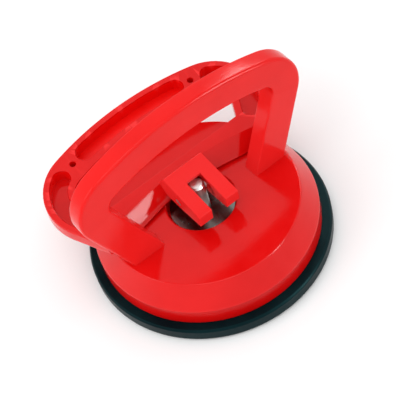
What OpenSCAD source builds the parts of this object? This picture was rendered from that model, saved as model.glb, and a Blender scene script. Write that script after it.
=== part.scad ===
// Vacuum suction cup with a fixed carrying handle and a folding suction lever.
// Origin: on the cup axis at the flat underside of the rubber. +Z is up.
// +X runs along the handle, -Y is the front, the lever lies out towards +Y.
// The lever is drawn in its released position, lying back from the handle.

/* [Rubber seal] */

// Outer radius of the rubber
seal_r = 59; // [50:0.5:66]
// Height of the rubber flange the housing stands on
seal_h = 7.6; // [5:0.1:10]
// Inner radius of the fixed outer ring
rim_in_r = 38; // [30:0.5:42]
// Radius of the lifting centre
centre_r = 21; // [16:0.5:26]
// Thickness of the thin web between ring and centre
web_t = 3.4; // [2:0.1:5]

/* [Housing] */

// Radius of the upright wall
wall_r = 54.2; // [48:0.1:58]
// Height of the top of the upright wall
wall_top = 16.9; // [12:0.1:20]
// Radius of the flat top deck
deck_r = 47.1; // [40:0.1:50]
// Height of the flat top deck
deck_z = 28.7; // [24:0.1:32]
// Wall thickness of the housing
shell_t = 3.2; // [2:0.1:5]
// Radius of the round recess in the deck
recess_r = 16.3; // [14:0.1:18]
// Height of the recess floor
recess_z = 23.9; // [21:0.1:26]

/* [Fixed handle] */

// Front face position along Y
handle_front = -8; // [-12:0.1:-6]
// Handle thickness along Y
handle_t = 9; // [7:0.1:11]
// Height of the crown of the handle
handle_top = 102.5; // [90:0.5:115]
// Radius of the arched top edge
handle_arch_r = 140; // [100:1:200]
// Half width where the legs meet the deck
handle_foot = 44.9; // [38:0.1:46]
// Lean of the outer leg edge from vertical
handle_lean = 22.5; // [15:0.5:30]
// Radius of the outer top corners
handle_corner_r = 22; // [12:0.5:28]
// Height of the crown of the hand opening
grip_top = 86.8; // [75:0.5:95]
// Radius of the arch of the hand opening
grip_arch_r = 130; // [100:1:200]
// Half width of the hand opening at the deck
grip_foot = 27.1; // [22:0.1:32]
// Lean of the opening edge from vertical
grip_lean = 23; // [15:0.5:30]
// Radius of the opening corners
grip_corner_r = 6; // [3:0.5:10]
// Depth of the cored pockets in the back
core_depth = 6.4; // [3:0.1:7]
// Wall left around the cored pockets
core_wall = 3.6; // [2.5:0.1:5]

/* [Lever] */

// Height of the lever pin
pivot_z = 38; // [34:0.1:42]
// Upward tilt of the lever in the released position
lever_tilt = 8; // [0:0.5:15]
// Height of the pocket face above the pin, negative is below
face_v = -1.4; // [-3:0.1:0]
// Lever thickness
lever_t = 8.2; // [6:0.1:10]
// Reach of the crown of the lever from the pin
lever_top = 62.9; // [55:0.1:70]
// Radius of the arched far edge
lever_arch_r = 160; // [100:1:200]
// Half width of the lever level with the pin
lever_foot = 47.5; // [40:0.1:52]
// Lean of the lever side edges
lever_lean = 26; // [15:0.5:30]
// Radius of the outer corners
lever_corner_r = 26; // [12:0.5:30]
// Near edge of the lever hand opening
loop_near = 20; // [16:0.1:24]
// Far edge of the lever hand opening at the middle
loop_far = 46.5; // [40:0.1:52]
// Half width of the lever hand opening at its near edge
loop_foot = 39; // [30:0.1:42]
// Radius of the far corners of the lever opening
loop_corner_r = 8; // [4:0.5:12]
// Reach of the crossbar front edge at the middle
bar_front = 9.6; // [9:0.1:14]
// Radius of the crossbar front edge in plan
bar_front_r = 175; // [90:1:200]
// Set-back of the crossbar front edge at the pocket face
bar_slope = 5; // [0:0.1:5]
// Wall around the pockets
pocket_wall = 3.4; // [2:0.1:5]
// Depth of the pockets
pocket_depth = 6.4; // [3:0.1:7]
// Radius of the pocket ends
pocket_end_r = 4.3; // [3:0.1:5]
// Radius of the two small holes
peg_hole_r = 1.65; // [1:0.05:3]

/* [Lever prongs] */

// Inner face of each prong
prong_in = 4.1; // [3:0.1:5]
// Outer face of each prong
prong_out = 11.2; // [9:0.1:13]
// Reach of the prong tips in front of the pin
prong_reach = 16.9; // [14:0.1:19]
// Top of the prongs above the pin
prong_top = 7; // [5:0.1:9]
// Back edge of the raised hub
hub_back = 10.5; // [8:0.1:14]

/* [Steel parts] */

// Radius of the lever pin
pin_r = 1.9; // [1.5:0.05:2.5]
// Radius of the lifting stud
stud_r = 3.8; // [3:0.1:4]
// Top of the stud
stud_top = 41.8; // [40:0.1:44]
// Radius of the plate under the stud
plate_r = 14; // [10:0.5:18]
// Plate thickness
plate_t = 2.6; // [1.5:0.1:4]
// Wear washer outer radius
washer_r = 15.6; // [12:0.1:16]
// Wear washer thickness
washer_t = 1.5; // [1:0.1:2]

/* [Hidden] */

$fn = 96;
red = [0.88, 0.12, 0.12];
black = [0.08, 0.09, 0.09];
steel = [0.75, 0.76, 0.78];
centre_h = 8;
stud_gap = 0.3;
slot_r = 5.8;
tube_r = 8;
tube_low = 16.5;
rib_n = 8;
rib_t = 2.4;
handle_c = handle_top - handle_arch_r;
grip_c = grip_top - grip_arch_r;
lever_c = lever_top - lever_arch_r;
loop_arch_r = lever_arch_r - (lever_top - loop_far);
band_r = (lever_arch_r - pocket_wall + loop_arch_r + 3.8) / 2;
band_half = (lever_arch_r - pocket_wall - loop_arch_r - 3.8) / 2;
mid_end_a = 10.2;
peg_a = 13.5;
side_end_a = 16.9;
side_foot_y = 19.5;
side_foot_x = 48.1;
side_foot_r = 5.1;
corner_steps = 14;
arch_steps = 12;

// Centre of the corner circle that touches a leaning side line and a top arch
function side_k(foot, lean, foot_y) = cos(lean) * foot - sin(lean) * foot_y;
function corner_q(k, lean, arch_c, r) = (k - r) / sin(lean) + arch_c;
function corner_root(t, q, span) = (t * q + sqrt(t * t * q * q - (1 + t * t) * (q * q - span * span))) / (1 + t * t);
function corner_x(k, lean, arch_c, arch_r, r) =
    corner_root(cos(lean) / sin(lean), corner_q(k, lean, arch_c, r), arch_r - r);
function corner_y(k, lean, arch_c, arch_r, r) =
    (cos(lean) * corner_x(k, lean, arch_c, arch_r, r) - (k - r)) / sin(lean);

// Points along an arc about [cx, cy], from angle a0 to angle a1
function arc_points(cx, cy, r, a0, a1, steps) =
    [for (i = [0 : steps]) [cx + r * cos(a0 + (a1 - a0) * i / steps), cy + r * sin(a0 + (a1 - a0) * i / steps)]];

// A flared hoop area: leaning sides, round corners and an arched top.
// inset moves the whole edge inwards without moving the corner centres.
module hoop(foot, lean, foot_y, arch_c, arch_r, r, low, inset) {
    k = side_k(foot, lean, foot_y);
    cx = corner_x(k, lean, arch_c, arch_r, r);
    cy = corner_y(k, lean, arch_c, arch_r, r);
    e = r - inset;
    bx = (k - inset + sin(lean) * low) / cos(lean);
    a = atan2(cy - arch_c, cx);
    polygon(concat([[bx, low]],
        arc_points(cx, cy, e, -lean, a, corner_steps),
        arc_points(0, arch_c, arch_r - inset, a + (90 - a) / arch_steps, 90 + (90 - a) * (1 - 1 / arch_steps),
                   2 * arch_steps - 2),
        arc_points(-cx, cy, e, 180 - a, 180 + lean, corner_steps),
        [[-bx, low]]));
}

module handle_area(low, inset) {
    hoop(handle_foot, handle_lean, deck_z, handle_c, handle_arch_r, handle_corner_r, low, inset);
}

module grip_area(low, inset) {
    hoop(grip_foot, grip_lean, deck_z, grip_c, grip_arch_r, grip_corner_r, low, inset);
}

// Cored pockets in the back of the handle, split by two ribs
module handle_core_area() {
    difference() {
        handle_area(40, core_wall);
        grip_area(30, -core_wall);
        translate([0, 60]) {
            rotate(-40) translate([-1.5, 0]) square([3, 80]);
            rotate(40) translate([-1.5, 0]) square([3, 80]);
        }
    }
}

module handle() {
    translate([0, handle_front + handle_t, 0]) rotate([90, 0, 0]) difference() {
        linear_extrude(handle_t) difference() {
            handle_area(deck_z - 2, 0);
            grip_area(deck_z - 3, 0);
        }
        translate([0, 0, -1]) linear_extrude(core_depth + 1) handle_core_area();
    }
}

module housing_ring() {
    inner_r = wall_r - shell_t - 0.1;
    rotate_extrude() polygon([
        [inner_r, seal_h], [wall_r, seal_h], [wall_r, wall_top],
        [deck_r, deck_z], [recess_r + 1, deck_z], [recess_r, deck_z - 1], [recess_r, recess_z],
        [stud_r + stud_gap, recess_z], [stud_r + stud_gap, tube_low], [tube_r, tube_low],
        [tube_r, recess_z - shell_t], [recess_r + shell_t, recess_z - shell_t],
        [recess_r + shell_t, deck_z - shell_t], [deck_r - 1.8, deck_z - shell_t],
        [inner_r, wall_top - 0.8]]);
}

module housing() {
    color(red) {
        housing_ring();
        for (i = [0 : rib_n - 1]) rotate([0, 0, 22.5 + i * 360 / rib_n])
            translate([recess_r + shell_t - 1, -rib_t / 2, wall_top + 0.4])
                cube([deck_r - recess_r - shell_t + 1, rib_t, deck_z - shell_t - wall_top + 1]);
        handle();
    }
}

module lever_area(inset) {
    hoop(lever_foot, lever_lean, 0, lever_c, lever_arch_r, lever_corner_r, -4, inset);
}

module loop_area(low, inset) {
    hoop(loop_foot, lever_lean, loop_near, lever_c, loop_arch_r, loop_corner_r, low, inset);
}

// Long middle pocket following the arch, with round ends
module mid_pocket_area() {
    far = band_r + 20;
    intersection() {
        translate([0, lever_c]) difference() {
            circle(r = band_r + band_half);
            circle(r = band_r - band_half);
        }
        translate([0, lever_c]) polygon([[0, 0], [far * sin(mid_end_a), far * cos(mid_end_a)],
            [0, far + 10], [-far * sin(mid_end_a), far * cos(mid_end_a)]]);
    }
    for (s = [-1, 1]) translate([s * band_r * sin(mid_end_a), lever_c + band_r * cos(mid_end_a)])
        circle(r = pocket_end_r);
}

// Pocket that turns the corner and runs down one leg
module side_pocket_area() {
    far = band_r + 40;
    intersection() {
        difference() {
            lever_area(pocket_wall);
            loop_area(loop_near - 12, -3.8);
        }
        translate([0, lever_c]) polygon([[0, 0], [far * sin(side_end_a), far * cos(side_end_a)],
            [far, far], [far, 0]]);
        translate([0, side_foot_y]) square([90, 90]);
    }
    translate([band_r * sin(side_end_a), lever_c + band_r * cos(side_end_a)]) circle(r = pocket_end_r);
    translate([side_foot_x, side_foot_y]) circle(r = side_foot_r);
}

// The prongs and hub seen from the side, front to the left
module hub_area() {
    polygon([[-prong_reach, -0.5], [-prong_reach, prong_top], [hub_back, prong_top],
             [hub_back + 5, face_v], [hub_back + 5, face_v - 4], [6, -5.2], [0, -4.2], [-4, -3.6]]);
}

module lever() {
    color(red) translate([0, 0, pivot_z]) rotate([lever_tilt, 0, 0]) difference() {
        union() {
            translate([0, 0, face_v - lever_t]) difference() {
                linear_extrude(lever_t) difference() {
                    lever_area(0);
                    loop_area(loop_near, 0);
                }
                translate([0, bar_front - bar_front_r, 0])
                    cylinder(h = lever_t + 0.001, r1 = bar_front_r, r2 = bar_front_r + bar_slope, $fn = 360);
                translate([0, 0, lever_t - pocket_depth]) linear_extrude(pocket_depth + 1) {
                    mid_pocket_area();
                    side_pocket_area();
                    mirror([1, 0]) side_pocket_area();
                }
                for (s = [-1, 1]) translate([s * band_r * sin(peg_a), lever_c + band_r * cos(peg_a), 1.5])
                    cylinder(h = lever_t, r = peg_hole_r, $fn = 32);
            }
            translate([-prong_out, 0, 0]) rotate([90, 0, 90]) linear_extrude(2 * prong_out) hub_area();
        }
        translate([-prong_in, -prong_reach - 1, -9]) cube([2 * prong_in, prong_reach + 3.1, 20]);
        translate([-prong_in, -1, -9]) cube([2 * prong_in, 5.6, 9]);
        translate([-prong_in, 0, 0]) rotate([0, 90, 0]) cylinder(h = 2 * prong_in, r = slot_r);
        translate([-prong_out - 1, 0, 0]) rotate([0, 90, 0])
            cylinder(h = 2 * prong_out + 2, r = pin_r + 0.01, $fn = 48);
    }
}

module pin() {
    color(steel) translate([-prong_out, 0, pivot_z]) rotate([0, 90, 0])
        cylinder(h = 2 * prong_out, r = pin_r, $fn = 48);
}

module stud() {
    low = centre_h;
    color(steel) difference() {
        rotate_extrude() polygon([[0, low], [3.1, low], [3.1, low + plate_t], [stud_r, low + plate_t],
            [stud_r, stud_top - 0.9], [stud_r - 0.9, stud_top], [0, stud_top]]);
        translate([-10, 0, pivot_z]) rotate([0, 90, 0]) cylinder(h = 20, r = pin_r + 0.08, $fn = 48);
    }
}

module stud_plate() {
    color(steel) translate([0, 0, centre_h]) difference() {
        cylinder(h = plate_t, r = plate_r);
        translate([0, 0, -1]) cylinder(h = plate_t + 2, r = 3.11);
    }
}

module wear_washer() {
    color(steel) translate([0, 0, recess_z]) difference() {
        cylinder(h = washer_t, r = washer_r);
        translate([0, 0, -1]) cylinder(h = washer_t + 2, r = stud_r + 0.7);
    }
}

module seal_rim() {
    in_r = wall_r - shell_t - 0.3;
    color(black) rotate_extrude() difference() {
        polygon([[rim_in_r, 0], [seal_r, 0], [seal_r, seal_h - 0.9], [seal_r - 0.9, seal_h],
            [in_r, seal_h], [in_r, 13], [in_r - 0.9, 13.8], [45, 13.8], [44.1, 13], [44.1, 6.4], [rim_in_r, 5]]);
        difference() {
            translate([seal_r - 2.4, -1]) square([4, 3.4]);
            translate([seal_r - 2.4, 2.4]) circle(r = 2.4);
        }
    }
}

module seal_web() {
    color(black) translate([0, 0, 1.2]) difference() {
        cylinder(h = web_t, r = rim_in_r);
        translate([0, 0, -1]) cylinder(h = web_t + 2, r = centre_r + 0.3);
    }
}

module seal_centre() {
    color(black) rotate_extrude() polygon([[0, 0], [centre_r - 0.8, 0], [centre_r, 0.8], [centre_r, 8],
        [plate_r + 3, centre_h + plate_t], [plate_r + 0.05, centre_h + plate_t], [plate_r + 0.05, centre_h],
        [0, centre_h]]);
}

housing();
lever();
pin();
stud();
stud_plate();
wear_washer();
seal_rim();
seal_web();
seal_centre();
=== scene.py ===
"""Looks of the vacuum suction cup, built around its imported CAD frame."""

import math

import bmesh
import bpy
from mathutils import Matrix, Vector


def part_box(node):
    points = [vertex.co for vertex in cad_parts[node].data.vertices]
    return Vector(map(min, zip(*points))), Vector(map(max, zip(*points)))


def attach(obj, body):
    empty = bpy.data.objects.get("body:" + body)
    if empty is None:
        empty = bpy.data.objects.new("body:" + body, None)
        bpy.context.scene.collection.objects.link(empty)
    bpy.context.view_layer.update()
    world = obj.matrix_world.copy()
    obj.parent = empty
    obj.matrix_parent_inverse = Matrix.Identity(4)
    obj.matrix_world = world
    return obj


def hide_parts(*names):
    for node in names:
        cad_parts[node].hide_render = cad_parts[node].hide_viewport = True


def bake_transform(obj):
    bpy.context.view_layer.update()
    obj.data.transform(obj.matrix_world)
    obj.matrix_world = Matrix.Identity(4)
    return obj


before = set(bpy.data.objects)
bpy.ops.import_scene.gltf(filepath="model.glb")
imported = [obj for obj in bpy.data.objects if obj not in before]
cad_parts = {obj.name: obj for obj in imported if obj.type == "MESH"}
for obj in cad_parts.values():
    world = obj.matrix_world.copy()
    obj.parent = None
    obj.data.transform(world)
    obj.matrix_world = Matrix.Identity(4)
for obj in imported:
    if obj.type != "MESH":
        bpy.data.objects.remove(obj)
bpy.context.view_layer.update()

MM = 0.001
CUP, PLUNGER, LEVER = "cup_body", "plunger", "lever_arm"

# ---------------------------------------------------------------- driving sizes, mm
SEAL_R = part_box("seal_rim")[1][0] / MM
SEAL_H = 7.6
RIM_IN_R = 38.0
CENTRE_R = 21.0
WEB_TOP = 4.6
DECK_Z = 28.7
DECK_R = 47.1
WALL_R = 54.2
WALL_TOP = 16.9
SHELL_T = 3.2
RECESS_R = 16.3
RECESS_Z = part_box("wear_washer")[0][2] / MM
STUD_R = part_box("stud")[1][0] / MM
GUIDE_R = 8.0
GUIDE_Z = 16.5


def hoop_shape(foot, lean, foot_y, arch_top, arch_r, r):
    """A flared hoop: foot half-width, lean of its sides, foot and arch heights, arch and corner radii."""
    return {"foot": foot, "lean": lean, "foot_y": foot_y,
            "arch_c": arch_top - arch_r, "arch_r": arch_r, "r": r}


HANDLE_FRONT = -8.0
HANDLE_BACK = 1.0
HANDLE_ROOT_Z = 26.6
HANDLE_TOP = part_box("housing")[1][2] / MM
GRIP_TOP = 86.8
HANDLE = hoop_shape(44.9, 22.5, DECK_Z, HANDLE_TOP, 140.0, 22.0)
GRIP = hoop_shape(27.1, 23.0, DECK_Z, GRIP_TOP, 130.0, 6.0)
CORE_DEPTH = 6.4
CORE_WALL = 3.6
CORE_RIB = 2.2
CORE_FOOT_Z = 40.0
CORE_MIDDLE_Z = 70.0
CORE_APEX_Z = 60.0
CORE_SPLIT = 40.0

PIVOT_Z = 0.5 * (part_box("pin")[0][2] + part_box("pin")[1][2]) / MM
LEVER_TILT = math.radians(8.0)
FACE_V = -1.4
LEVER_T = 8.2
LEVER_TOP = 62.9
LEVER_ARCH_R = 160.0
LOOP_FAR = 46.5
LOOP_NEAR = 20.0
LOOP_ARCH_R = LEVER_ARCH_R - (LEVER_TOP - LOOP_FAR)
LEVER_C = LEVER_TOP - LEVER_ARCH_R
HOOP = hoop_shape(47.5, 26.0, 0.0, LEVER_TOP, LEVER_ARCH_R, 26.0)
LOOP = hoop_shape(39.0, 26.0, LOOP_NEAR, LOOP_FAR, LOOP_ARCH_R, 8.0)
BAR_FRONT = 8.5
BAR_FRONT_R = 95.0
BAR_STRAIGHT_X = 45.0
BAR_CREASE = 14.9
BAR_CREASE_R = 170.0
POCKET_WALL = 3.4
POCKET_WALL_IN = 3.8
POCKET_DEPTH = 7.0
POCKET_FOOT = 19.5
BAND_R = (LEVER_ARCH_R - POCKET_WALL + LOOP_ARCH_R + POCKET_WALL_IN) / 2
BAND_HALF = (LEVER_ARCH_R - POCKET_WALL - LOOP_ARCH_R - POCKET_WALL_IN) / 2
MID_END_A, PEG_A, SIDE_END_A = 10.2, 13.5, 16.9
PEG_R = 1.65
PEG_DEPTH = 6.5
PRONG_IN, PRONG_OUT, PRONG_REACH, PRONG_TOP = 4.1, 11.2, 16.9, 7.0
HUB_BACK = 10.5


# ---------------------------------------------------------------- materials
def new_material(name):
    mat = bpy.data.materials.new(name)
    mat.use_nodes = True
    return mat, mat.node_tree.nodes, mat.node_tree.links, mat.node_tree.nodes["Principled BSDF"]


def noise(nodes, links, scale, detail=3.0, rough=0.5, stretch=None):
    """Object-space noise, so that it stays with the piece when a joint moves."""
    coord = nodes.new("ShaderNodeTexCoord")
    tex = nodes.new("ShaderNodeTexNoise")
    tex.inputs["Scale"].default_value = scale
    tex.inputs["Detail"].default_value = detail
    tex.inputs["Roughness"].default_value = rough
    source = coord.outputs["Object"]
    if stretch:
        mapping = nodes.new("ShaderNodeMapping")
        mapping.inputs["Scale"].default_value = stretch
        links.new(source, mapping.inputs["Vector"])
        source = mapping.outputs["Vector"]
    links.new(source, tex.inputs["Vector"])
    return tex.outputs["Fac"]


def ramp(nodes, links, source, stops):
    """A colour ramp with (position, rgb or grey) stops."""
    node = nodes.new("ShaderNodeValToRGB")
    items = node.color_ramp.elements
    while len(items) < len(stops):
        items.new(0.5)
    for item, (place, value) in zip(items, stops):
        item.position = place
        item.color = (value, value, value, 1) if isinstance(value, float) else (*value, 1)
    links.new(source, node.inputs["Fac"])
    return node.outputs["Color"]


def mix(nodes, links, factor, a, b, mode="MIX"):
    node = nodes.new("ShaderNodeMix")
    node.data_type = "RGBA"
    node.blend_type = mode
    if isinstance(factor, float):
        node.inputs[0].default_value = factor
    else:
        links.new(factor, node.inputs[0])
    for socket, value in ((node.inputs[6], a), (node.inputs[7], b)):
        if isinstance(value, tuple):
            socket.default_value = (*value, 1)
        else:
            links.new(value, socket)
    return node.outputs[2]


def bump(nodes, links, height, strength, distance, shader, below=None):
    node = nodes.new("ShaderNodeBump")
    node.inputs["Strength"].default_value = strength
    node.inputs["Distance"].default_value = distance
    links.new(height, node.inputs["Height"])
    if below:
        links.new(below, node.inputs["Normal"])
    links.new(node.outputs["Normal"], shader.inputs["Normal"])
    return node.outputs["Normal"]


def edge_mask(nodes, links, low, high):
    """White on worn convex edges."""
    geometry = nodes.new("ShaderNodeNewGeometry")
    return ramp(nodes, links, geometry.outputs["Pointiness"], [(low, 0.0), (high, 1.0)])


def red_plastic(name, light, dark, gloss, level=0.24):
    """Glossy moulded plastic: faint flow mottling, fine orange peel, hairline scuffs and paler edges."""
    mat, nodes, links, shader = new_material(name)
    body = ramp(nodes, links, noise(nodes, links, 38, 4), [(0.35, dark), (0.68, light)])
    edges = edge_mask(nodes, links, 0.53, 0.62)
    skin = mix(nodes, links, edges, body, (0.84, 0.025, 0.025))
    links.new(skin, shader.inputs["Base Color"])
    links.new(ramp(nodes, links, noise(nodes, links, 150, 5), [(0.3, gloss[0]), (0.75, gloss[1])]),
              shader.inputs["Roughness"])
    peel = bump(nodes, links, noise(nodes, links, 420, 2), 0.05, 0.0004, shader)
    bump(nodes, links, noise(nodes, links, 60, 6, 0.7, (1.0, 9.0, 4.0)), 0.03, 0.0004, shader, peel)
    shader.inputs["IOR"].default_value = 1.52
    shader.inputs["Specular IOR Level"].default_value = level
    return mat


def rubber(name):
    """Black moulded rubber with a slight cold tint, dusty grain and a satin sheen."""
    mat, nodes, links, shader = new_material(name)
    dark, light = (0.0008, 0.0050, 0.0070), (0.0022, 0.0135, 0.0160)
    body = ramp(nodes, links, noise(nodes, links, 60, 6), [(0.3, dark), (0.75, light)])
    edges = edge_mask(nodes, links, 0.52, 0.60)
    links.new(mix(nodes, links, edges, body, (0.010, 0.026, 0.028)), shader.inputs["Base Color"])
    links.new(ramp(nodes, links, noise(nodes, links, 120, 4), [(0.3, 0.30), (0.75, 0.46)]),
              shader.inputs["Roughness"])
    bump(nodes, links, noise(nodes, links, 900, 3), 0.12, 0.0003, shader)
    shader.inputs["IOR"].default_value = 1.5
    shader.inputs["Specular IOR Level"].default_value = 0.12
    shader.inputs["Specular Tint"].default_value = (0.35, 0.95, 1.0, 1)
    return mat


def steel(name, tint, rough, stretch=(1.0, 1.0, 12.0)):
    """Zinc-plated steel: turning marks, cloudy roughness and small dull spots."""
    mat, nodes, links, shader = new_material(name)
    dull = tuple(0.78 * c for c in tint)
    body = ramp(nodes, links, noise(nodes, links, 170, 5), [(0.35, dull), (0.6, tint)])
    links.new(body, shader.inputs["Base Color"])
    links.new(ramp(nodes, links, noise(nodes, links, 240, 4), [(0.3, rough[0]), (0.7, rough[1])]),
              shader.inputs["Roughness"])
    bump(nodes, links, noise(nodes, links, 700, 3, 0.5, stretch), 0.10, 0.0002, shader)
    shader.inputs["Metallic"].default_value = 1.0
    return mat


RED = red_plastic("red_gloss_plastic", (0.72, 0.006, 0.006), (0.65, 0.003, 0.003), (0.10, 0.17))
# A lighter copy of the red for the fixed handle: painted light, so the handle reads brighter than the rest.
RED_HANDLE_LIT = red_plastic("red_handle_plastic_painted_light", (0.81, 0.007, 0.006), (0.74, 0.004, 0.003), (0.12, 0.20), 0.19)
# A darker, less glossy copy of the red for the hub and prongs: painted shade.
RED_HUB_SHADED = red_plastic("red_hub_plastic_painted_shade", (0.52, 0.004, 0.004), (0.45, 0.002, 0.002), (0.16, 0.26), 0.07)
# A darker, duller copy of the red for the lower outer wall: painted shade.
RED_WALL_SHADED = red_plastic("red_wall_plastic_painted_shade", (0.60, 0.003, 0.003), (0.54, 0.002, 0.002), (0.16, 0.26), 0.10)
# A rougher copy of the red for the pocket walls and floors; its base is lighter than the main red, painted
# light in the pockets.
RED_POCKET_ROUGH_LIT = red_plastic("red_pocket_plastic_rough_painted_light", (0.86, 0.003, 0.002), (0.80, 0.002, 0.001), (0.26, 0.40))
BLACK = rubber("black_rubber")
STEEL = steel("plated_steel", (0.80, 0.79, 0.78), (0.30, 0.50))
STEEL_FLAT = steel("plated_steel_flat", (0.20, 0.20, 0.19), (0.14, 0.30), (6.0, 6.0, 1.0))


# ---------------------------------------------------------------- outlines
def arc(cx, cy, r, a0, a1, steps):
    """Points on an arc, angles in degrees."""
    angles = [math.radians(a0 + (a1 - a0) * i / steps) for i in range(steps + 1)]
    return [(cx + r * math.cos(a), cy + r * math.sin(a)) for a in angles]


def hoop_corner(foot, lean, foot_y, arch_c, arch_r, r):
    """Centre of the corner circle that touches the leaning side line and the arch."""
    s, c = math.sin(math.radians(lean)), math.cos(math.radians(lean))
    k = c * foot - s * foot_y
    t, q, span = c / s, (k - r) / s + arch_c, arch_r - r
    cx = (t * q + math.sqrt(t * t * q * q - (1 + t * t) * (q * q - span * span))) / (1 + t * t)
    return cx, (c * cx - (k - r)) / s, k, s, c


def hoop(shape, low, inset, corner_steps=18, arch_steps=18):
    """Open outline of a flared hoop from its right foot over the arch to its left foot."""
    cx, cy, k, s, c = hoop_corner(**shape)
    e = shape["r"] - inset
    foot = (k - inset + s * low) / c
    a = math.degrees(math.atan2(cy - shape["arch_c"], cx))
    lean = shape["lean"]
    step = (90 - a) / arch_steps
    points = [(foot, low)] + arc(cx, cy, e, -lean, a, corner_steps)
    points += arc(0, shape["arch_c"], shape["arch_r"] - inset, a + step, 180 - a - step, 2 * arch_steps - 2)
    return points + arc(-cx, cy, e, 180 - a, 180 + lean, corner_steps) + [(-foot, low)]


def rounded(points, radii, steps=5):
    """A closed profile with its corners rounded to the given radii."""
    out = []
    count = len(points)
    for i, (p, r) in enumerate(zip(points, radii)):
        here = Vector(p)
        before = Vector(points[i - 1]) - here
        after = Vector(points[(i + 1) % count]) - here
        if r <= 0:
            out.append(tuple(here))
            continue
        angle = before.angle(after)
        cut = min(r / math.tan(angle / 2), 0.45 * before.length, 0.45 * after.length)
        start, end = here + before.normalized() * cut, here + after.normalized() * cut
        for j in range(steps + 1):
            t = j / steps
            out.append(tuple((1 - t) ** 2 * start + 2 * t * (1 - t) * here + t * t * end))
    return out


def inside(x, y, polygon):
    hit = False
    for (x0, y0), (x1, y1) in zip(polygon, polygon[1:] + polygon[:1]):
        if (y0 > y) != (y1 > y) and x < (x1 - x0) * (y - y0) / (y1 - y0) + x0:
            hit = not hit
    return hit


# ---------------------------------------------------------------- mesh helpers
def build(name, verts, faces, materials, turn=None):
    mesh = bpy.data.meshes.new(name)
    mesh.from_pydata([Vector(v) * MM for v in verts], [], faces)
    if turn:
        mesh.transform(turn)
    mesh.validate()
    bm = bmesh.new()
    bm.from_mesh(mesh)
    bmesh.ops.remove_doubles(bm, verts=bm.verts, dist=1e-6)
    bmesh.ops.recalc_face_normals(bm, faces=bm.faces)
    bm.to_mesh(mesh)
    bm.free()
    obj = bpy.data.objects.new(name, mesh)
    bpy.context.scene.collection.objects.link(obj)
    for mat in materials:
        mesh.materials.append(mat)
    return obj


def soften(obj, angle=38.0, weighted=True):
    """Smooth shading that keeps edges sharper than the angle."""
    mesh = obj.data
    mesh.polygons.foreach_set("use_smooth", [True] * len(mesh.polygons))
    mesh.set_sharp_from_angle(angle=math.radians(angle))
    if weighted:
        normals = obj.modifiers.new("even_normals", "WEIGHTED_NORMAL")
        normals.keep_sharp = True
        normals.weight = 100


def finish_piece(obj, body, nodes=(), angle=38.0, weighted=True):
    soften(obj, angle, weighted)
    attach(obj, body)
    if nodes:
        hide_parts(*nodes)
    return obj


def revolve(name, profile, material, segments=144):
    """A closed (radius, z) profile turned about the cup axis."""
    verts, faces = [], []
    count = len(profile)
    for i in range(segments):
        a = 2 * math.pi * i / segments
        verts += [(r * math.cos(a), r * math.sin(a), z) for r, z in profile]
    for i in range(segments):
        here, there = i * count, ((i + 1) % segments) * count
        for j in range(count):
            k = (j + 1) % count
            faces.append((here + j, here + k, there + k, there + j))
    return build(name, verts, faces, [material])


def prism(name, outline, low, high, flare=0.0, turn=None):
    """An upright prism on an (x, y) outline; its last 0.6 mm flares outwards by the given amount."""
    count = len(outline)
    centre = Vector((sum(p[0] for p in outline) / count, sum(p[1] for p in outline) / count))
    levels = [(low, 0.0), (high, 0.0)]
    if flare:
        levels = [(low, 0.0), (high - 0.5, 0.0), (high, flare), (high + 1.0, 3 * flare)]
    verts, faces = [], []
    for z, out in levels:
        for i, p in enumerate(outline):
            ahead = Vector(outline[(i + 1) % count]) - Vector(outline[i - 1])
            normal = Vector((ahead.y, -ahead.x)).normalized()
            verts.append((p[0] + normal.x * out, p[1] + normal.y * out, z))
    for level in range(len(levels) - 1):
        here, there = level * count, (level + 1) * count
        for i in range(count):
            k = (i + 1) % count
            faces.append((here + i, here + k, there + k, there + i))
    faces.append(tuple(range(count)))
    top = (len(levels) - 1) * count
    faces.append(tuple(range(top, top + count)))
    return build(name, verts, faces, [RED], turn)


def cylinder(name, radius, start, end, segments=40, turn=None):
    """A closed cylinder between two points, in mm."""
    axis = Vector(end) - Vector(start)
    side = axis.orthogonal().normalized()
    other = axis.normalized().cross(side)
    verts = []
    for base in (Vector(start), Vector(end)):
        for i in range(segments):
            a = 2 * math.pi * i / segments
            verts.append(tuple(base + side * radius * math.cos(a) + other * radius * math.sin(a)))
    faces = [(i, (i + 1) % segments, segments + (i + 1) % segments, segments + i) for i in range(segments)]
    faces += [tuple(range(segments)), tuple(range(segments, 2 * segments))]
    return build(name, verts, faces, [RED], turn)


def block(name, low, high, turn=None):
    corners = [(x, y, z) for x in (low[0], high[0]) for y in (low[1], high[1]) for z in (low[2], high[2])]
    faces = [(0, 1, 3, 2), (4, 6, 7, 5), (0, 4, 5, 1), (2, 3, 7, 6), (0, 2, 6, 4), (1, 5, 7, 3)]
    return build(name, corners, faces, [RED], turn)


def carve(obj, cutters):
    """Cuts the cutters out of obj and removes them."""
    for cutter in cutters:
        cut = obj.modifiers.new("cut", "BOOLEAN")
        cut.operation = "DIFFERENCE"
        cut.solver = "EXACT"
        cut.object = cutter
        bpy.context.view_layer.update()
        graph = bpy.context.evaluated_depsgraph_get()
        mesh = bpy.data.meshes.new_from_object(obj.evaluated_get(graph))
        obj.modifiers.clear()
        obj.data = mesh
        bpy.data.objects.remove(cutter)


def band(name, rows, closed, materials, turn=None):
    """A solid band: rows[i][j] is point j of the section at place i along the band."""
    count, width = len(rows), len(rows[0])
    verts = [p for row in rows for p in row]
    faces = []
    for i in range(count if closed else count - 1):
        here, there = i * width, ((i + 1) % count) * width
        for j in range(width):
            k = (j + 1) % width
            faces.append((here + j, here + k, there + k, there + j))
    if not closed:
        faces += [tuple(range(width)), tuple(range((count - 1) * width, count * width))]
    return build(name, verts, faces, materials, turn)


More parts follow.
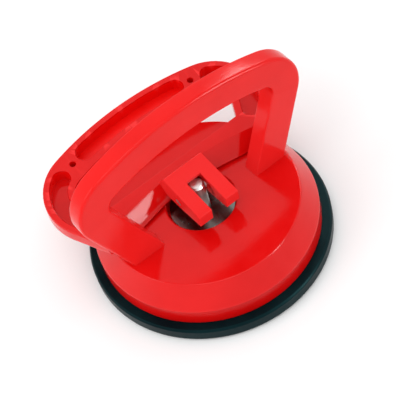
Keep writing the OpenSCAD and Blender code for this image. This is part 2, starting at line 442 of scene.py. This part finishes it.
# ---------------------------------------------------------------- housing
def make_housing():
    inner = WALL_R - SHELL_T - 0.1
    profile = rounded(
        [(inner, SEAL_H), (WALL_R, SEAL_H), (WALL_R, WALL_TOP), (DECK_R, DECK_Z), (RECESS_R + 0.4, DECK_Z),
         (RECESS_R, RECESS_Z), (STUD_R + 0.3, RECESS_Z), (STUD_R + 0.3, GUIDE_Z), (GUIDE_R, GUIDE_Z),
         (GUIDE_R, RECESS_Z - SHELL_T), (RECESS_R + SHELL_T, RECESS_Z - SHELL_T),
         (RECESS_R + SHELL_T, DECK_Z - SHELL_T), (DECK_R - 1.8, DECK_Z - SHELL_T), (inner, WALL_TOP - 0.8)],
        [0, 0.7, 2.2, 0.9, 1.1, 0.5, 0.3, 0.3, 0.5, 0, 0, 0, 0, 0])
    obj = revolve("housing_shell", profile, RED)
    obj.data.materials.append(RED_WALL_SHADED)
    # Painted shade: the lower part of the outer wall takes the darker copy, so the wall reads darker towards
    # the bottom.
    for face in obj.data.polygons:
        centre = face.center / MM
        if centre.xy.length > WALL_R - 1.0 and centre.z < WALL_TOP - 0.4:
            face.material_index = 1
    return finish_piece(obj, CUP, ["housing"])


HANDLE_ROWS = [  # (edge, inset, y), once round the section
    ("out", 1.0, HANDLE_BACK), ("out", 0.3, HANDLE_BACK - 0.3), ("out", 0.0, HANDLE_BACK - 1.0),
    ("out", 0.0, HANDLE_FRONT + 1.6), ("out", 0.12, HANDLE_FRONT + 0.98), ("out", 0.47, HANDLE_FRONT + 0.47),
    ("out", 0.98, HANDLE_FRONT + 0.12), ("out", 1.6, HANDLE_FRONT),
    ("in", 1.0, HANDLE_FRONT), ("in", 0.3, HANDLE_FRONT + 0.3), ("in", 0.0, HANDLE_FRONT + 1.0),
    ("in", 0.0, HANDLE_BACK - 0.8), ("in", 0.23, HANDLE_BACK - 0.23), ("in", 0.8, HANDLE_BACK)]


def handle_core(side):
    """Outlines of the cored pockets in the back of the handle: 0 the long middle one, -1 and 1 the sides."""
    slope = math.tan(math.radians(CORE_SPLIT))

    def kept(points):
        if side == 0:
            above = [p for p in points if p[1] > CORE_MIDDLE_Z]
            return [p for p in above if abs(p[0]) < (p[1] - CORE_APEX_Z) * slope - CORE_RIB]
        beyond = [p for p in points if p[0] * side > (p[1] - CORE_APEX_Z) * slope + CORE_RIB]
        return [p for p in beyond if p[0] * side > 0]

    outer = kept(hoop(HANDLE, CORE_FOOT_Z, CORE_WALL))
    inner = kept(hoop(GRIP, CORE_FOOT_Z, -CORE_WALL))
    return outer + inner[::-1]


def make_handle():
    sides = {"out": (HANDLE, 1), "in": (GRIP, -1)}
    tracks = []
    for edge, inset, _ in HANDLE_ROWS:
        shape, sign = sides[edge]
        tracks.append(hoop(shape, HANDLE_ROOT_Z, sign * inset))
    rows = [[(x, row[2], z) for (x, z), row in zip(section, HANDLE_ROWS)] for section in zip(*tracks)]
    # The handle takes the lighter copy of the red: painted light.
    obj = band("fixed_handle", rows, False, [RED_HANDLE_LIT])
    stand = Matrix.Rotation(math.radians(90), 4, "X")
    low, high = -HANDLE_BACK - 1.0, -HANDLE_BACK + CORE_DEPTH
    carve(obj, [prism("core", handle_core(side), low, high, 0.0, stand) for side in (-1, 0, 1)])
    return finish_piece(obj, CUP)


# ---------------------------------------------------------------- lever
TO_LEVER = Matrix.Translation((0, 0, PIVOT_Z * MM)) @ Matrix.Rotation(LEVER_TILT, 4, "X")


def front_edge(x, share):
    """The crossbar's front edge in plan; share runs from 0 at its foot to 1 at the crease on top."""
    foot = BAR_FRONT - x * x / (2 * BAR_FRONT_R) / (1 + (x / BAR_STRAIGHT_X) ** 4)
    crease = BAR_CREASE - x * x / (2 * BAR_CREASE_R)
    return foot + share * (crease - foot)


def lever_outline(side_inset, front_inset, bar_steps=40):
    """Closed outline of the lever; the crossbar's front edge closes the hoop."""
    cx, cy, k, s, c = hoop_corner(**HOOP)
    low = 3.0
    for _ in range(30):
        low = front_edge((k - side_inset + s * low) / c, front_inset)
    points = hoop(HOOP, low, side_inset)
    foot = points[0][0]
    xs = [-foot + 2 * foot * i / bar_steps for i in range(1, bar_steps)]
    return points + [(x, front_edge(x, front_inset)) for x in xs]


def loop_outline(inset, bar_steps=40):
    """Closed outline of the lever's hand opening."""
    points = hoop(LOOP, LOOP_NEAR - inset, -inset)
    foot = points[0][0]
    return points + [(-foot + 2 * foot * i / bar_steps, LOOP_NEAR - inset) for i in range(1, bar_steps)]


def crossbar_share(v):
    """How far the sloping front of the crossbar is set back at height v, as a share of its full set-back."""
    t = max(0.0, min(1.0, (v - FACE_V + LEVER_T - 0.9) / (LEVER_T - 0.9)))
    return 0.55 * t + 0.45 * t * t


def lever_rows():
    low, high = FACE_V - LEVER_T, FACE_V
    rows = [("out", 1.2, 0.2, low), ("out", 0.35, 0.05, low + 0.35)]  # (edge, inset, set-back share, height)
    for v in (low + 1.2, low + 2.4, low + 3.6, low + 4.8, low + 5.8, low + 6.7, low + 7.3):
        rows.append(("out", 0.0, crossbar_share(v), v))
    for drop, inset in ((0.62, 0.05), (0.35, 0.18), (0.13, 0.42), (0.0, 0.8)):
        rows.append(("out", inset, crossbar_share(high - drop), high - drop))
    rows += [("in", 0.7, 0, high), ("in", 0.2, 0, high - 0.2), ("in", 0.0, 0, high - 0.7),
             ("in", 0.0, 0, low + 1.0), ("in", 0.3, 0, low + 0.3), ("in", 1.0, 0, low)]
    return rows


def half_turn(start, end, steps=14):
    """Points strictly between start and end on the half circle that leaves start anticlockwise."""
    centre = ((start[0] + end[0]) / 2, (start[1] + end[1]) / 2)
    r = math.dist(start, centre)
    a = math.degrees(math.atan2(start[1] - centre[1], start[0] - centre[0]))
    return arc(*centre, r, a, a + 180, steps)[1:-1]


def mid_pocket():
    half = BAND_HALF - 0.05
    outer = arc(0, LEVER_C, BAND_R + half, 90 - MID_END_A, 90 + MID_END_A, 30)
    inner = arc(0, LEVER_C, BAND_R - half, 90 + MID_END_A, 90 - MID_END_A, 30)
    return outer + half_turn(outer[-1], inner[0]) + inner + half_turn(inner[-1], outer[0])


def side_pocket(sign):
    """Pocket that turns the corner and runs down one leg."""
    slope = math.tan(math.radians(SIDE_END_A))

    def right_of_ray(points):
        return [p for p in points if p[0] > max(0.0, (p[1] - LEVER_C) * slope)]

    outer = right_of_ray(hoop(HOOP, POCKET_FOOT, POCKET_WALL))
    inner = right_of_ray(hoop(LOOP, POCKET_FOOT, -POCKET_WALL_IN))
    points = outer + half_turn(outer[-1], inner[-1]) + inner[::-1] + half_turn(inner[0], outer[0])
    points = [(sign * x, y) for x, y in points]
    return points if sign > 0 else points[::-1]


def peg_centre(sign):
    a = math.radians(90 - sign * PEG_A)
    return BAND_R * math.cos(a), LEVER_C + BAND_R * math.sin(a)


def make_lever():
    rows_def = lever_rows()
    tracks = []
    for edge, inset, front, _ in rows_def:
        tracks.append(lever_outline(inset, front) if edge == "out" else loop_outline(inset))
    rows = [[(x, y, row[3]) for (x, y), row in zip(section, rows_def)] for section in zip(*tracks)]
    # The second material is the rougher pocket copy with the lighter base, painted light.
    obj = band("lever_hoop", rows, True, [RED, RED_POCKET_ROUGH_LIT], TO_LEVER)
    outlines = [mid_pocket(), side_pocket(1), side_pocket(-1)]
    cutters = [prism("pocket", o, FACE_V - POCKET_DEPTH, FACE_V, 0.35, TO_LEVER) for o in outlines]
    for sign in (-1, 1):
        floor, mouth = (*peg_centre(sign), FACE_V - PEG_DEPTH), (*peg_centre(sign), FACE_V + 2)
        cutters.append(cylinder("peg_hole", PEG_R, floor, mouth, 32, TO_LEVER))
    carve(obj, cutters)
    dull_and_lighten_pockets(obj, outlines)
    return finish_piece(obj, LEVER, ["lever"])


def dull_and_lighten_pockets(obj, outlines):
    """The walls and floors of the pockets and small holes take the rougher copy of the red, whose lighter
    base is painted light in them.
    """
    back = TO_LEVER.inverted()
    middles = [(sum(q[0] for q in o) / len(o), sum(q[1] for q in o) / len(o)) for o in outlines]
    for face in obj.data.polygons:
        p = back @ face.center / MM
        in_pocket = in_peg = False
        if FACE_V - POCKET_DEPTH - 0.2 < p.z < FACE_V - 0.7:
            for outline, (cx, cy) in zip(outlines, middles):
                probe = (p.x + (cx - p.x) * 0.004, p.y + (cy - p.y) * 0.004)
                in_pocket = in_pocket or inside(*probe, outline) or inside(p.x, p.y, outline)
        if p.z < FACE_V - 0.3:
            in_peg = math.dist((abs(p.x), p.y), peg_centre(1)) < PEG_R + 0.1
        face.material_index = int(in_pocket or in_peg)


def make_hub():
    """The raised hub with its two prongs, drawn from the side and cut by the stud's slot."""
    profile = rounded(
        [(-PRONG_REACH, -0.5), (-PRONG_REACH, PRONG_TOP), (HUB_BACK, PRONG_TOP), (HUB_BACK + 5, FACE_V),
         (HUB_BACK + 5, FACE_V - 4), (6, -5.2), (0, -4.2), (-4, -3.6)],
        [0.6, 0.7, 0.8, 0.3, 0, 0.5, 2.5, 2.5])
    lay = TO_LEVER @ Matrix(((0, 0, 1, 0), (1, 0, 0, 0), (0, 1, 0, 0), (0, 0, 0, 1)))
    obj = prism("lever_prongs", profile, -PRONG_OUT, PRONG_OUT, 0.0, lay)
    obj.data.materials.clear()
    # The hub takes the darker copy of the red: painted shade.
    obj.data.materials.append(RED_HUB_SHADED)
    slot = [(-PRONG_IN, -PRONG_REACH - 2), (PRONG_IN, -PRONG_REACH - 2), (PRONG_IN, 2.1), (-PRONG_IN, 2.1)]
    carve(obj, [
        prism("slot", slot, -9, 12, 0.0, TO_LEVER),
        block("slot_low", (-PRONG_IN, -1, -9), (PRONG_IN, 4.6, 0), TO_LEVER),
        cylinder("slot_round", 5.8, (-PRONG_IN, 0, 0), (PRONG_IN, 0, 0), 48, TO_LEVER),
        cylinder("pin_hole", 1.91, (-PRONG_OUT - 2, 0, 0), (PRONG_OUT + 2, 0, 0), 40, TO_LEVER)])
    edge = obj.modifiers.new("soft_edges", "BEVEL")
    edge.width = 0.45 * MM
    edge.segments = 3
    edge.limit_method = "ANGLE"
    edge.angle_limit = math.radians(50)
    return finish_piece(obj, LEVER)


# ---------------------------------------------------------------- rubber
def make_seal():
    inner = WALL_R - SHELL_T - 0.3
    rim = rounded(
        [(RIM_IN_R, 0.0), (41.0, 0.0), (41.6, 0.7), (42.6, 0.7), (43.2, 0.0), (SEAL_R - 0.9, 0.0),
         (SEAL_R, 1.4), (SEAL_R, SEAL_H - 1.0), (SEAL_R - 0.8, SEAL_H), (inner, SEAL_H), (inner, 13.0),
         (44.1, 13.8), (44.1, 6.0), (RIM_IN_R, WEB_TOP)],
        [0, 0.2, 0.2, 0.2, 0.2, 1.2, 1.4, 0.8, 0.6, 0, 0.5, 0.5, 0, 0])
    finish_piece(revolve("rubber_rim", rim, BLACK), CUP, ["seal_rim"])
    centre = rounded(
        [(0.001, 0.0), (20.2, 0.0), (CENTRE_R, 0.5), (CENTRE_R, 8.0), (17.0, 10.6), (14.05, 10.6),
         (14.05, 8.0), (0.001, 8.0)], [0, 0.5, 0.5, 0.5, 0.5, 0.2, 0, 0])
    finish_piece(revolve("rubber_centre", centre, BLACK, 96), PLUNGER, ["seal_centre"])


def make_web(sectors=16, across=8, along=6):
    """The thin web of the rubber disc, built as separate sectors, each running out along its own radius."""
    width = 2 * (across + 1)
    for n in range(sectors):
        mid = 2 * math.pi * n / sectors
        half = math.pi / sectors
        verts, faces = [], []
        for i in range(along + 1):
            a = mid - half + 2 * half * i / along
            for j in range(across + 1):
                t = j / across
                r = CENTRE_R + (RIM_IN_R - CENTRE_R) * t
                lift = 1.2 * math.sin(math.pi * t) ** 2
                verts.append((r * math.cos(a), r * math.sin(a), 0.5 * (1 - t) * (1 - t) + lift))
            for j in range(across + 1):
                r = CENTRE_R + (RIM_IN_R - CENTRE_R) * (1 - j / across)
                verts.append((r * math.cos(a), r * math.sin(a), WEB_TOP))
        for i in range(along):
            here, there = i * width, (i + 1) * width
            for j in range(width):
                k = (j + 1) % width
                faces.append((here + j, here + k, there + k, there + j))
        faces += [tuple(range(width)), tuple(range(along * width, (along + 1) * width))]
        obj = build(f"rubber_web_{n:02d}", verts, faces, [BLACK])
        soften(obj, 38.0, False)
        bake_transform(obj)
        if n == 0:
            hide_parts("seal_web")


# ---------------------------------------------------------------- steel parts
def dress(node, material):
    """Gives a CAD node its finish; its mesh is left as it is."""
    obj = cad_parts[node]
    obj.data.materials.clear()
    obj.data.materials.append(material)
    for face in obj.data.polygons:
        face.material_index = 0


make_housing()
make_handle()
make_lever()
make_hub()
make_seal()
make_web()
dress("pin", STEEL)
dress("stud", STEEL)
dress("stud_plate", STEEL_FLAT)
dress("wear_washer", STEEL_FLAT)


# ---------------------------------------------------------------- floor, light and camera
def make_floor():
    size = 3.0
    mesh = bpy.data.meshes.new("floor")
    corners = [(-size, -size, 0), (size, -size, 0), (size, size, 0), (-size, size, 0)]
    mesh.from_pydata(corners, [], [(0, 1, 2, 3)])
    floor = bpy.data.objects.new("floor", mesh)
    bpy.context.scene.collection.objects.link(floor)
    mat, nodes, links, shader = new_material("pale_floor")
    links.new(ramp(nodes, links, noise(nodes, links, 3, 2), [(0.3, 0.93), (0.7, 0.96)]),
              shader.inputs["Base Color"])
    shader.inputs["Roughness"].default_value = 0.9
    shader.inputs["Specular IOR Level"].default_value = 0.1
    mesh.materials.append(mat)


def area_light(name, direction, distance, size, power, highlight_only=False):
    """A rectangular light of (width, height), aimed at the cup; highlight-only makes it a reflector card."""
    light = bpy.data.lights.new(name, "AREA")
    light.shape = "RECTANGLE"
    light.size, light.size_y = size
    light.energy = power
    obj = bpy.data.objects.new(name, light)
    obj.location = Vector(direction).normalized() * distance
    obj.rotation_euler = (-obj.location).to_track_quat("-Z", "Y").to_euler()
    obj.visible_diffuse = not highlight_only
    bpy.context.scene.collection.objects.link(obj)


def make_light():
    world = bpy.data.worlds.new("studio")
    world.use_nodes = True
    background = world.node_tree.nodes["Background"]
    background.inputs["Color"].default_value = (1.0, 1.0, 1.0, 1)
    background.inputs["Strength"].default_value = 1.0
    bpy.context.scene.world = world
    area_light("key", (-0.20, -0.25, 0.95), 0.9, (0.5, 0.5), 1.0)
    area_light("side", (-0.75, 0.15, 0.60), 1.0, (0.5, 0.5), 1.6)
    area_light("front_card", (0.48, -0.77, 0.42), 1.0, (0.26, 0.54), 5.5, True)
    area_light("top_card", (0.62, 0.40, 0.68), 1.0, (0.3, 0.3), 3.0, True)


def make_camera():
    elevation, azimuth, roll = math.radians(52.15), math.radians(23.58), math.radians(-17.47)
    distance, aim_z, slide_x, slide_y = 754.3, 20.0, 2.11, -5.18
    back = Vector((-math.sin(azimuth) * math.cos(elevation), -math.cos(azimuth) * math.cos(elevation),
                   math.sin(elevation)))
    right = Vector((0, 0, 1)).cross(back).normalized()
    up = back.cross(right)
    right, up = (math.cos(roll) * right + math.sin(roll) * up, -math.sin(roll) * right + math.cos(roll) * up)
    place = back * distance - right * slide_x - up * slide_y + Vector((0, 0, aim_z))
    data = bpy.data.cameras.new("camera")
    data.sensor_width = 36.0
    data.lens = 144.0
    data.clip_start = 0.01
    camera = bpy.data.objects.new("camera", data)
    turn = Matrix((right, up, back)).transposed().to_4x4()
    camera.matrix_world = Matrix.Translation(place * MM) @ turn
    bpy.context.scene.collection.objects.link(camera)
    bpy.context.scene.camera = camera


make_floor()
make_light()
make_camera()
bpy.context.scene.view_settings.view_transform = "Standard"
